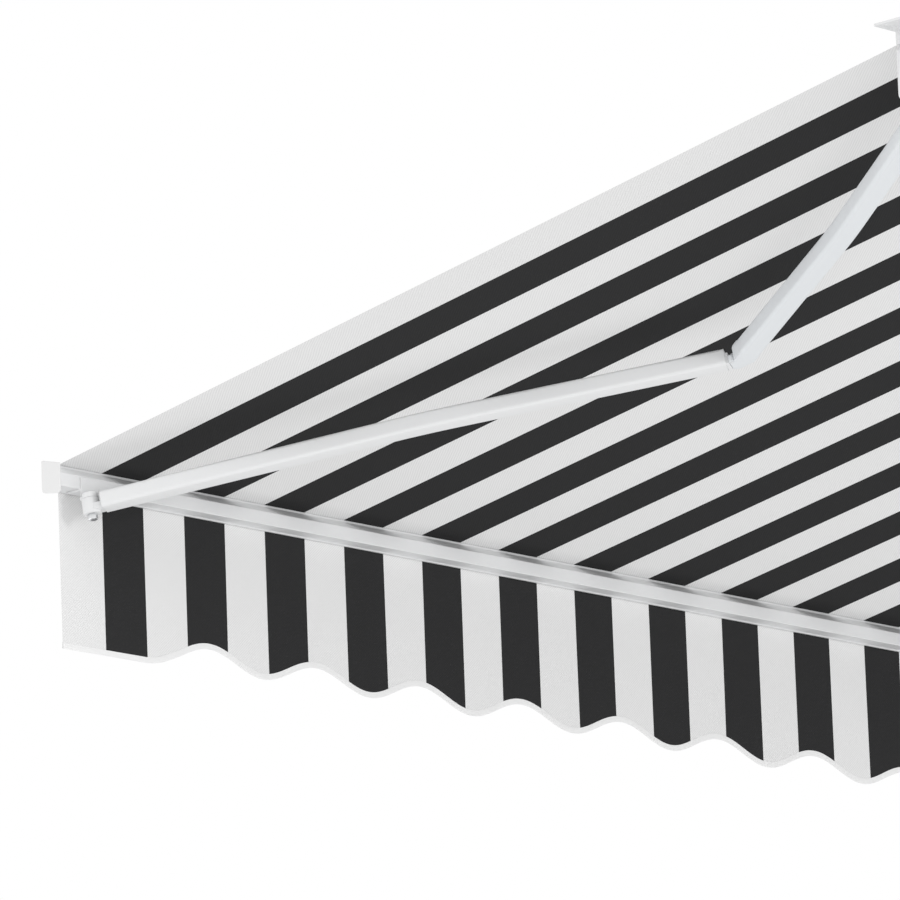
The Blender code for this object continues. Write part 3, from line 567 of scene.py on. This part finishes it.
# ------------------------------------------------------------------------------- pieces
class AWNING_OT_canopy(bpy.types.Operator):
    """Builds the canopy: a taut grid from the front bar to the top of the roll"""

    bl_idname = "awning.canopy"
    bl_label = "Canopy"

    def execute(self, context):
        look = context.scene.awning_cloth
        end = (Vector((0, ROLLER.y, ROLLER.z)) - Vector((0, HEM_Y, HEM_Z))).dot(Vector((0, COS_P, SIN_P)))
        across = np.linspace(0, 2 * HALF_CLOTH, 301)
        up = np.r_[0.0008, 0.0128, 0.0132, np.linspace(0.02, end, 130)]
        a, s = np.meshgrid(across, up, indexing="ij")
        # sag: a parabola along the slope, a little less at the two side edges
        t = s / end
        middle = np.clip(np.minimum(a, 2 * HALF_CLOTH - a) / 0.35, 0, 1)
        sag = look.sag * 4 * t * (1 - t) * (0.6 + 0.4 * middle * middle * (3 - 2 * middle))
        verts = slope_point(HALF_CLOTH - a, s, sag)
        uv = np.stack([a - STRIPE_SHIFT, s], -1).reshape(-1, 2)
        obj = mesh_object("canopy", verts.reshape(-1, 3), grid_faces(*a.shape), uv)
        dress(obj, cloth("canopy_cloth", look, "rib"), "wall_side", ["canopy_cloth"])
        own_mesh(obj)
        return {"FINISHED"}


def hem_line(look, a):
    """Lower edge of the valance below the hem: flat ends, and minus the drop minus a cosine wave
    between them, blended by smooth steps 0.6 of a stripe long."""
    along = (a - STRIPE_SHIFT) / STRIPE
    wave = -look.drop - look.scallop * np.cos(2 * np.pi * (along - SCALLOP_START) / SCALLOP_PERIOD)
    last = SCALLOP_START + SCALLOPS * SCALLOP_PERIOD
    start, stop = SCALLOP_START - 0.256, last + 0.30
    reach = np.clip((along - start) / 0.60, 0, 1) * np.clip((stop - along) / 0.60, 0, 1)
    mix = reach * reach * (3 - 2 * reach)
    return -FLAT_DROP * STRIPE * (1 - mix) + wave * mix


def ripple(a, depth):
    """Small out-of-plane waves of the hanging cloth, growing downwards."""
    waves = 0.45 * np.sin(2 * np.pi * a / 0.61 + 0.6) + 0.35 * np.sin(2 * np.pi * a / 0.254 + 1.9)
    return 0.0016 * waves * np.clip(depth / 0.26, 0, 1) ** 1.5


class AWNING_OT_valance(bpy.types.Operator):
    """Builds the valance and the tape bound round its lower edge"""

    bl_idname = "awning.valance"
    bl_label = "Valance"

    def execute(self, context):
        look = context.scene.awning_cloth
        across = np.linspace(0, 2 * HALF_CLOTH, 721)
        t = np.r_[0, 0.004, np.linspace(0.02, 1, 40)]
        a, share = np.meshgrid(across, t, indexing="ij")
        low = hem_line(look, a)
        z = VALANCE_TOP + (low + 0.0010 - VALANCE_TOP) * share
        y = ripple(a, VALANCE_TOP - z)
        verts = np.stack([HALF_CLOTH - a, HEM_Y + y, HEM_Z + z], -1)
        uv = np.stack([a - STRIPE_SHIFT, -z], -1).reshape(-1, 2)
        obj = mesh_object("valance", verts.reshape(-1, 3), grid_faces(*a.shape), uv)
        dress(obj, cloth("valance_cloth", look, "twill"), "front_bar", ["valance_cloth"])
        # tape: a folded strip, its section a flat U whose points follow the edge's own normal
        edge = hem_line(look, across)
        slope = np.gradient(edge, across)
        normal = np.stack([slope, -np.ones_like(slope)], -1)
        normal /= np.linalg.norm(normal, axis=1)[:, None]
        w, half = look.binding, 0.0006
        arc = np.linspace(-np.pi / 2, np.pi / 2, 7)
        fold = np.stack([np.cos(arc) * half - half, np.sin(arc) * half], -1)
        section = np.vstack([[(-w, -half * 0.7)], fold, [(-w, half * 0.7)]])
        inward, out = section[:, 0][None, :], section[:, 1][None, :]
        pa = across[:, None] + normal[:, :1] * inward
        pz = edge[:, None] + normal[:, 1:] * inward
        py = ripple(across[:, None] * np.ones_like(inward), VALANCE_TOP - pz) + out
        verts = np.stack([HALF_CLOTH - pa, HEM_Y + py, HEM_Z + pz], -1)
        along = np.r_[0, np.cumsum(np.hypot(np.diff(across), np.diff(edge)))]
        uv = np.stack(np.broadcast_arrays(along[:, None], inward), -1).reshape(-1, 2)
        faces = grid_faces(*py.shape, close_columns=True)
        tape = mesh_object("valance_binding", verts.reshape(-1, 3), faces, uv, sharp=50)
        dress(tape, cloth("binding_tape", look, "tape"), "front_bar")
        return {"FINISHED"}


class AWNING_OT_front_bar(bpy.types.Operator):
    """Builds the extruded front bar and its two end caps"""

    bl_idname = "awning.front_bar"
    bl_label = "Front bar"

    def execute(self, context):
        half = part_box("front_bar")[1].x
        # back face, slope, canopy channel, front face, valance channel, underside with its two ridges
        outer = [
            (BAR_BACK, -0.0434), (BAR_BACK, -0.0224), (0.0044, -0.0042), (0.0044, -0.0010), (0.0034, -0.0010),
            (0.0030, -0.0022), (0.0008, -0.0048), (-0.0018, -0.0030), (-0.0015, -0.0002), (0.0001, 0.0006),
            (0.0001, 0.0022), (-0.0036, 0.0022), (-0.0036, -0.0456), (-0.0011, -0.0456), (-0.0011, -0.0432),
            (-0.0026, -0.0413), (0, -0.0387), (0.0026, -0.0413), (0.0011, -0.0432), (0.0011, -0.0456),
            (0.0060, -0.0456), (0.0060, -0.0446), (0.0078, -0.0438), (0.0340, -0.0438), (0.0346, -0.0446),
            (0.0357, -0.0446),
        ]
        radii = [0.0012, 0.0016, 0.0008, 0.0004, 0.0003] + [0.001] * 4 + [0.0003, 0.0005, 0.0012, 0.0008]
        radii += [0.0003] * 2 + [0.001] * 3 + [0.0003] * 2
        radii += [0.0006, 0.0004, 0.0004, 0.0003, 0.0003, 0.0004]
        ring = round_outline(outer, radii, 4) + np.array([HEM_Y, HEM_Z])
        bar = extrusion("front_bar_profile", ring[::-1], -half, half)
        dress(bar, white_paint(), "front_bar", ["front_bar"])
        cap_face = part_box("bar_end_cap_right")[1].x
        back_y, front_y, low_z = 0.0372, -0.0042, -0.0506
        cap = [(back_y, -0.0062), (0.0005, 0.0030), (front_y, 0.0030), (front_y, low_z)]
        cap += [(back_y, low_z - 0.0072)]
        line = round_outline(cap, [0.0022, 0.004, 0.0016, 0.006, 0.007], 8)
        line = anticlockwise(line + np.array([HEM_Y, HEM_Z]))
        for name, side in SIDES:
            obj = pillow_plate(f"end_cap_{name}", line, side * (half + 0.0001), side * cap_face, 0.0014)
            dress(obj, white_plastic(), "front_bar", [f"bar_end_cap_{name}"])
        return {"FINISHED"}


class AWNING_OT_arms(bpy.types.Operator):
    """Builds the four bent arm tubes"""

    bl_idname = "awning.arms"
    bl_label = "Arm tubes"

    def execute(self, context):
        for name, side in SIDES:
            shoulder, elbow, knuckle = arm_points(side)
            length = np.linalg.norm(elbow - shoulder)
            # each tube: its two pins, then start, bend and end along and beside the line between
            # them, and how far its ends stop short
            jobs = (
                ("rear", shoulder, elbow, (0, 0.0143), (0.577, 0.0323), (length, 0.0218), 0.040, 0.006),
                ("front", elbow, knuckle, (0, 0.0197), (0.5105, -0.0173), (length, 0), 0.011, 0.0215),
            )
            for part, a, b, start, bend, end, cut_a, cut_b in jobs:
                along, outward = arm_axes(a, b, side)
                p, q, r = (a + along * u + outward * v for u, v in (start, bend, end))
                p = p + (q - p) / np.linalg.norm(q - p) * cut_a
                r = r + (q - r) / np.linalg.norm(q - r) * cut_b
                tube = swept_tube(f"{part}_tube_{name}", (p, q, r))
                # the rear tubes take the powder coat with the painted bluish reflection
                paint = painted_reflection_paint() if part == "rear" else white_paint()
                dress(tube, paint, f"{name}_{part}_arm", [f"{part}_arm_tube_{name}"])
        return {"FINISHED"}


def prism(name, outline, origin, axes, low, high, radius, steps=3):
    """An outline in the plane of the first two axes, between two heights along the third, with
    quarter-circle edges: rings moved in by r(1 - cos a) and closed towards the outline's middle."""
    ex, ey, ez = axes
    line = anticlockwise(np.array(outline))
    a = np.linspace(0, math.pi / 2, steps + 1)
    rings, heights = [], []
    for move, rise in zip(radius * (1 - np.sin(a)), radius * (1 - np.cos(a))):
        rings.append(inset(line, move))
        heights.append(low + rise)
    for move, rise in zip(radius * (1 - np.cos(a)), radius * (1 - np.sin(a))):
        rings.append(inset(line, move))
        heights.append(high - rise)
    centre, first, last = line.mean(0), rings[0], rings[-1]
    for share in (0.6, 0.02):
        rings.insert(0, centre + (first - centre) * share)
        heights.insert(0, low)
        rings.append(centre + (last - centre) * share)
        heights.append(high)
    ring = np.stack(rings)
    h = np.array(heights)[:, None, None]
    verts = np.array(origin) + ring[..., :1] * ex + ring[..., 1:] * ey + h * ez
    faces = grid_faces(*ring.shape[:2], close_columns=True)
    if np.dot(np.cross(ex, ey), ez) < 0:
        faces = faces[:, ::-1]
    return mesh_object(name, verts.reshape(-1, 3), faces, ring.reshape(-1, 2), sharp=40)


def disc(radius, centre=(0, 0), count=36):
    """A circle's points: centre plus radius times cosine and sine."""
    a = np.linspace(0, 2 * np.pi, count, endpoint=False)
    return np.stack([centre[0] + radius * np.cos(a), centre[1] + radius * np.sin(a)], -1)


class AWNING_OT_elbows(bpy.types.Operator):
    """Builds the elbow castings, which fill the corner between the two tubes' ends"""

    bl_idname = "awning.elbows"
    bl_label = "Elbows"

    def execute(self, context):
        for name, side in SIDES:
            shoulder, elbow, knuckle = arm_points(side)
            rear_dir, rear_out = arm_axes(shoulder, elbow, side)
            front_dir, front_out = arm_axes(elbow, knuckle, side)
            rear, front = (rear_dir, rear_out, NORMAL), (front_dir, front_out, NORMAL)
            rear_body, front_body = f"{name}_rear_arm", f"{name}_front_arm"
            # the front tube's end line, in the rear arm's own directions
            fx, fy = float(front_dir @ rear_dir), float(front_dir @ rear_out)
            gx, gy = float(front_out @ rear_dir), float(front_out @ rear_out)

            def at(u, v):
                """A point u along and v beside the front arm, in the rear arm's directions."""
                return (u * fx + v * gx, u * fy + v * gy)

            # the rear arm's casting: low beside the pin, full height behind the outer chamfer
            turn = np.radians(np.linspace(150, 320, 12))
            barrel = [(0.0048 * math.cos(t), 0.0048 * math.sin(t)) for t in turn]
            corner = [at(0.0040, 0.0335), at(-0.004, 0.0400), (0.004, 0.0410), (-0.030, 0.0410)]
            low_part = [(-0.030, 0.0026), (-0.0056, 0.0024), *barrel, at(0.0040, 0.0060), *corner]
            radii = [0.001, 0.0008] + [0.0003] * len(barrel) + [0.0004, 0.004, 0.006, 0.006, 0.001]
            line = round_outline(low_part, radii, 3)
            block = prism(f"elbow_low_{name}", line, elbow, rear, -0.0130, -0.0015, 0.0007)
            replaced = [f"rear_arm_elbow_end_{name}", f"elbow_pin_{name}"]
            # the low casting takes the powder coat with the painted bluish reflection
            dress(block, painted_reflection_paint(), rear_body, replaced)
            high_part = [(-0.030, 0.0030), (-0.0064, 0.0030), (0.0005, 0.0320), at(0.0040, 0.0300)]
            radii = [0.001, 0.002, 0.004, 0.001, 0.003, 0.006, 0.006, 0.001]
            line = round_outline(high_part + corner, radii, 4)
            high = prism(f"elbow_high_{name}", line, elbow, rear, -0.0016, 0.0130, 0.0010)
            # the high casting takes the same painted bluish reflection
            dress(high, painted_reflection_paint(), rear_body)
            plug = [(0.0106, 0.0021), (0.036, 0.0026), (0.036, 0.0370), (0.0106, 0.0376)]
            inner = prism(f"elbow_plug_{name}", plug, elbow, front, -0.0118, 0.0118, 0.0004)
            dress(inner, white_paint(), front_body, [f"front_arm_elbow_end_{name}"])
            tongue = [(0.0046, 0.0008), (0.0116, 0.0008), (0.0116, 0.0386), (0.0046, 0.0370)]
            line = round_outline(tongue, [0.002, 0.0006, 0.0006, 0.003], 4)
            flush = prism(f"elbow_tongue_{name}", line, elbow, front, -0.0134, 0.0060, 0.0007)
            dress(flush, white_paint(), front_body)
            head = disc(0.0028, count=24)
            pin = prism(f"elbow_pin_head_{name}", head, elbow, rear, -0.0137, -0.0128, 0.0004)
            dress(pin, plated(), rear_body)
        return {"FINISHED"}


class AWNING_OT_knuckles(bpy.types.Operator):
    """Builds the bar's brackets and the arms' front eyes"""

    bl_idname = "awning.knuckles"
    bl_label = "Front knuckles"

    def execute(self, context):
        east, deep, up = np.eye(3)
        pin_axes = (east, np.array([0, COS_P, SIN_P]), NORMAL)
        back = HEM_Y + BAR_BACK + 0.0003
        for name, side in SIDES:
            _, elbow, knuckle = arm_points(side)
            arm_body = f"{name}_front_arm"
            # angle on the bar: a plate on its back face and a foot under it
            x_out, x_in = side * 0.0065, -side * 0.0350
            x_mid, half = (x_out + x_in) / 2, abs(x_out - x_in) / 2
            middle = np.array([knuckle[0] + x_mid, 0, 0])
            face = [(-half, -0.0560), (half, -0.0560), (half, -0.0240), (-half, -0.0240)]
            line = round_outline(face, 0.0016, 4)
            on_back = middle + (0, back, HEM_Z)
            plate = prism(f"bar_angle_{name}", line, on_back, (east, up, deep), 0, 0.0018, 0.0007)
            dress(plate, white_paint(), "front_bar", [f"bar_bracket_{name}"])
            foot_back = BAR_BACK + 0.0018
            foot_line = [(-half, 0.0063), (half, 0.0063), (half, foot_back), (-half, foot_back)]
            line = round_outline(foot_line, 0.0012, 3)
            under = middle + (0, HEM_Y, HEM_Z)
            foot = prism(f"bar_foot_{name}", line, under, (east, deep, up), -0.0472, -0.0439, 0.0005)
            dress(foot, white_paint(), "front_bar")
            # lug and web over the arm's eye, on the joint's own axis
            lug_line = np.vstack([disc(EYE_R, count=48)[:25], [(-0.0138, -0.0040), (0.0138, -0.0040)]])
            lug = prism(f"bar_lug_{name}", lug_line, knuckle, pin_axes, 0.0101, 0.0190, 0.0007)
            dress(lug, white_paint(), "front_bar")
            low_x, high_x = sorted((side * 0.0050, -side * 0.0130))
            reach = knuckle[1] - back
            web_line = [(low_x, -reach), (high_x, -reach), (high_x, 0.0020), (low_x, 0.0020)]
            web = prism(f"bar_web_{name}", web_line, knuckle, pin_axes, 0.0125, 0.0190, 0.0004)
            dress(web, white_paint(), "front_bar")
            # bolt: head above, nut and end of the thread below
            top = disc(0.0072, count=28)
            head = prism(f"knuckle_head_{name}", top, knuckle, pin_axes, 0.0191, 0.0222, 0.0012)
            dress(head, plated(), "front_bar", [f"knuckle_bolt_{name}"])
            angles = [math.radians(a) for a in range(20, 380, 60)]
            hexagon = [(0.0085 * math.cos(a), 0.0085 * math.sin(a)) for a in angles]
            line = round_outline(hexagon, 0.0012, 3)
            nut = prism(f"knuckle_lock_nut_{name}", line, knuckle, pin_axes, -0.0262, -0.0168, 0.0009)
            dress(nut, plated(), "front_bar", [f"knuckle_nut_{name}"])
            tip = disc(0.0040, count=32)
            thread = prism(f"knuckle_thread_{name}", tip, knuckle, pin_axes, -0.0272, -0.0259, 0.0005)
            dress(thread, dark_steel(), "front_bar")
            # the arm's eye, and the neck that joins it to the tube
            arm, out = arm_axes(elbow, knuckle, side)
            arm_frame = (arm, out, NORMAL)
            rim = disc(EYE_R, count=48)
            eye = prism(f"arm_eye_{name}", rim, knuckle, arm_frame, -0.0165, 0.0098, 0.0006)
            dress(eye, white_paint(), arm_body, [f"front_arm_bar_end_{name}"])
            neck_line = [(-0.045, -0.0126), (-0.045, 0.0126), (-0.004, 0.0132), (-0.004, -0.0132)]
            line = round_outline(neck_line, 0.0008, 2)
            neck = prism(f"arm_neck_{name}", line, knuckle, arm_frame, -0.0128, -0.0010, 0.0008)
            dress(neck, white_paint(), arm_body)
        return {"FINISHED"}


def round_roller(radius, turn):
    """y and z at a radius and an angle round the roller: its axis plus r sin and r cos of the angle
    from the seam."""
    return ROLLER.y + radius * np.sin(turn + ROLL_SEAM), ROLLER.z + radius * np.cos(turn + ROLL_SEAM)


class AWNING_OT_fittings(bpy.types.Operator):
    """Finishes the castings, brackets, roller and fasteners that come with the frame"""

    bl_idname = "awning.fittings"
    bl_label = "Fittings"

    def execute(self, context):
        record = frame["record"]
        slots = {s["node"]: s["material_slot"] for s in record["subparts"]}
        look = context.scene.awning_cloth
        bronze = coated("bronze_gear", (0.55, 0.40, 0.20), 0.35, 0.0003, 1.0, 0.2, 1200.0)
        makers = {
            "powder_coat": white_paint(), "white_plastic": white_plastic(), "plated_steel": plated(),
            "bronze": bronze,
        }
        for name, node in frame["nodes"].items():
            slot = slots.get(name)
            if slot in makers and not node.hide_render:
                node.data.materials.clear()
                node.data.materials.append(makers[slot])
        # roll: a radius that grows by one cloth's thickness in a turn, so that the end shows a step
        a = np.linspace(0, 2 * HALF_CLOTH, 61)
        turn = np.linspace(0, 2 * np.pi, 97)
        g, t = np.meshgrid(a, turn, indexing="ij")
        y, z = round_roller(ROLL_R - CLOTH_THICKNESS * t / (2 * np.pi), t)
        verts = np.stack([HALF_CLOTH - g, y, z], -1)
        uv = np.stack([g - STRIPE_SHIFT, 0.5 + ROLL_R * t], -1).reshape(-1, 2)
        # two flat ends, from the outermost turn to an inner circle
        ends, rings = [], []
        j = np.arange(len(turn) - 1)
        for index, x in ((0, HALF_CLOTH), (len(a) - 1, -HALF_CLOTH)):
            base, inner = index * len(turn), g.size + len(rings) * len(turn)
            rings.append(np.stack([np.full_like(turn, x), *round_roller(ROLL_INNER_R, turn)], -1))
            ends.append(np.stack([base + j, inner + j, inner + j + 1, base + j + 1], -1))
        verts = np.vstack([verts.reshape(-1, 3), *rings])
        uv = np.vstack([uv, np.tile([[-0.04, 0.0]], (len(turn) * 2, 1))])
        faces = np.vstack([grid_faces(*g.shape), *ends])
        roll = mesh_object("cloth_on_roller", verts, faces, uv, sharp=40)
        dress(roll, cloth("rolled_cloth", look, "rib"), "roller", ["cloth_roll"])
        return {"FINISHED"}


class AWNING_OT_stage(bpy.types.Operator):
    """Builds the camera, the soft white light and the pale floor"""

    bl_idname = "awning.stage"
    bl_label = "Stage"

    def execute(self, context):
        look = context.scene.awning_stage
        scene = context.scene
        camera = bpy.data.objects.new("camera", bpy.data.cameras.new("camera"))
        scene.collection.objects.link(camera)
        # the camera's own right, down and forward directions, then its place
        right = Vector((-0.68366092, 0.72890821, -0.0360633))
        down = Vector((-0.13867672, -0.17826568, -0.97416124))
        ahead = Vector((-0.71650297, -0.66099483, 0.22295588))
        turn = Matrix((right, -down, -ahead)).transposed()
        camera.matrix_world = Matrix.Translation((12.07872, 8.89396, -3.77857)) @ turn.to_4x4()
        camera.data.lens = look.lens
        camera.data.sensor_width = 36
        camera.data.clip_start, camera.data.clip_end = 0.5, 200
        scene.camera = camera
        world = bpy.data.worlds.new("studio")
        world.use_nodes = True
        back = world.node_tree.nodes["Background"]
        back.inputs["Color"].default_value = (1, 1, 1, 1)
        back.inputs["Strength"].default_value = look.sky
        scene.world = world
        scene.view_settings.view_transform = "Standard"
        scene.view_settings.look = "None"
        corners = ((-30, -30), (30, -30), (30, 30), (-30, 30))
        verts = np.array([(x, y, look.floor) for x, y in corners])
        floor = mesh_object("floor", verts, np.array([[0, 1, 2, 3]]), smooth=False)
        n = Nodes("pale_floor")
        where = n.add("ShaderNodeTexCoord").outputs["Object"]
        shade = n.mix(n.noise(where, 2.0), (0.86, 0.86, 0.86), (0.90, 0.90, 0.90))
        n.link(shade, n.shader.inputs["Base Color"])
        n.shader.inputs["Roughness"].default_value = 0.8
        floor.data.materials.append(n.mat)
        # soft lamps: place, aim, diameter in metres and power in watts
        for name, place, aim, size, power in (
            ("lamp_side", (7.0, 3.5, -2.2), (0.6, -1.3, -0.3), 3.0, 62),
            ("lamp_back", (1.0, 8.0, -0.55), (0.3, -2.0, -0.3), 2.4, 180),
            ("lamp_front", (5.5, -7.0, -2.6), (0.4, -1.2, -0.2), 3.0, 86),
        ):
            lamp = bpy.data.objects.new(name, bpy.data.lights.new(name, "AREA"))
            lamp.data.shape, lamp.data.size, lamp.data.energy = "DISK", size, power
            lamp.location = place
            lamp.rotation_mode = "QUATERNION"
            lamp.rotation_quaternion = (Vector(aim) - Vector(place)).to_track_quat("-Z", "Y")
            scene.collection.objects.link(lamp)
        return {"FINISHED"}


class AWNING_PT_panel(bpy.types.Panel):
    """Lists the awning's settings and pieces"""

    bl_idname = "AWNING_PT_panel"
    bl_label = "Awning"
    bl_space_type = "VIEW_3D"
    bl_region_type = "UI"
    bl_category = "Awning"

    def draw(self, context):
        """Every setting, then a button for each operator."""
        for settings in (context.scene.awning_cloth, context.scene.awning_metal, context.scene.awning_stage):
            for key in settings.__annotations__:
                self.layout.prop(settings, key)
        for operator in OPERATORS:
            self.layout.operator(operator.bl_idname)


OPERATORS = (
    AWNING_OT_canopy, AWNING_OT_valance, AWNING_OT_front_bar, AWNING_OT_arms, AWNING_OT_elbows,
    AWNING_OT_knuckles, AWNING_OT_fittings, AWNING_OT_stage,
)
CLASSES = (AwningCloth, AwningMetal, AwningStage, *OPERATORS, AWNING_PT_panel)


def register():
    """Adds the settings, the operators and the panel to Blender."""
    for cls in CLASSES:
        bpy.utils.register_class(cls)
    bpy.types.Scene.awning_cloth = bpy.props.PointerProperty(type=AwningCloth)
    bpy.types.Scene.awning_metal = bpy.props.PointerProperty(type=AwningMetal)
    bpy.types.Scene.awning_stage = bpy.props.PointerProperty(type=AwningStage)


def unregister():
    """Takes them away again."""
    for name in ("awning_cloth", "awning_metal", "awning_stage"):
        delattr(bpy.types.Scene, name)
    for cls in reversed(CLASSES):
        bpy.utils.unregister_class(cls)


def main():
    register()
    bpy.ops.awning.canopy()
    bpy.ops.awning.valance()
    bpy.ops.awning.front_bar()
    bpy.ops.awning.arms()
    bpy.ops.awning.elbows()
    bpy.ops.awning.knuckles()
    bpy.ops.awning.fittings()
    bpy.ops.awning.stage()


if __name__ == "__main__":
    main()
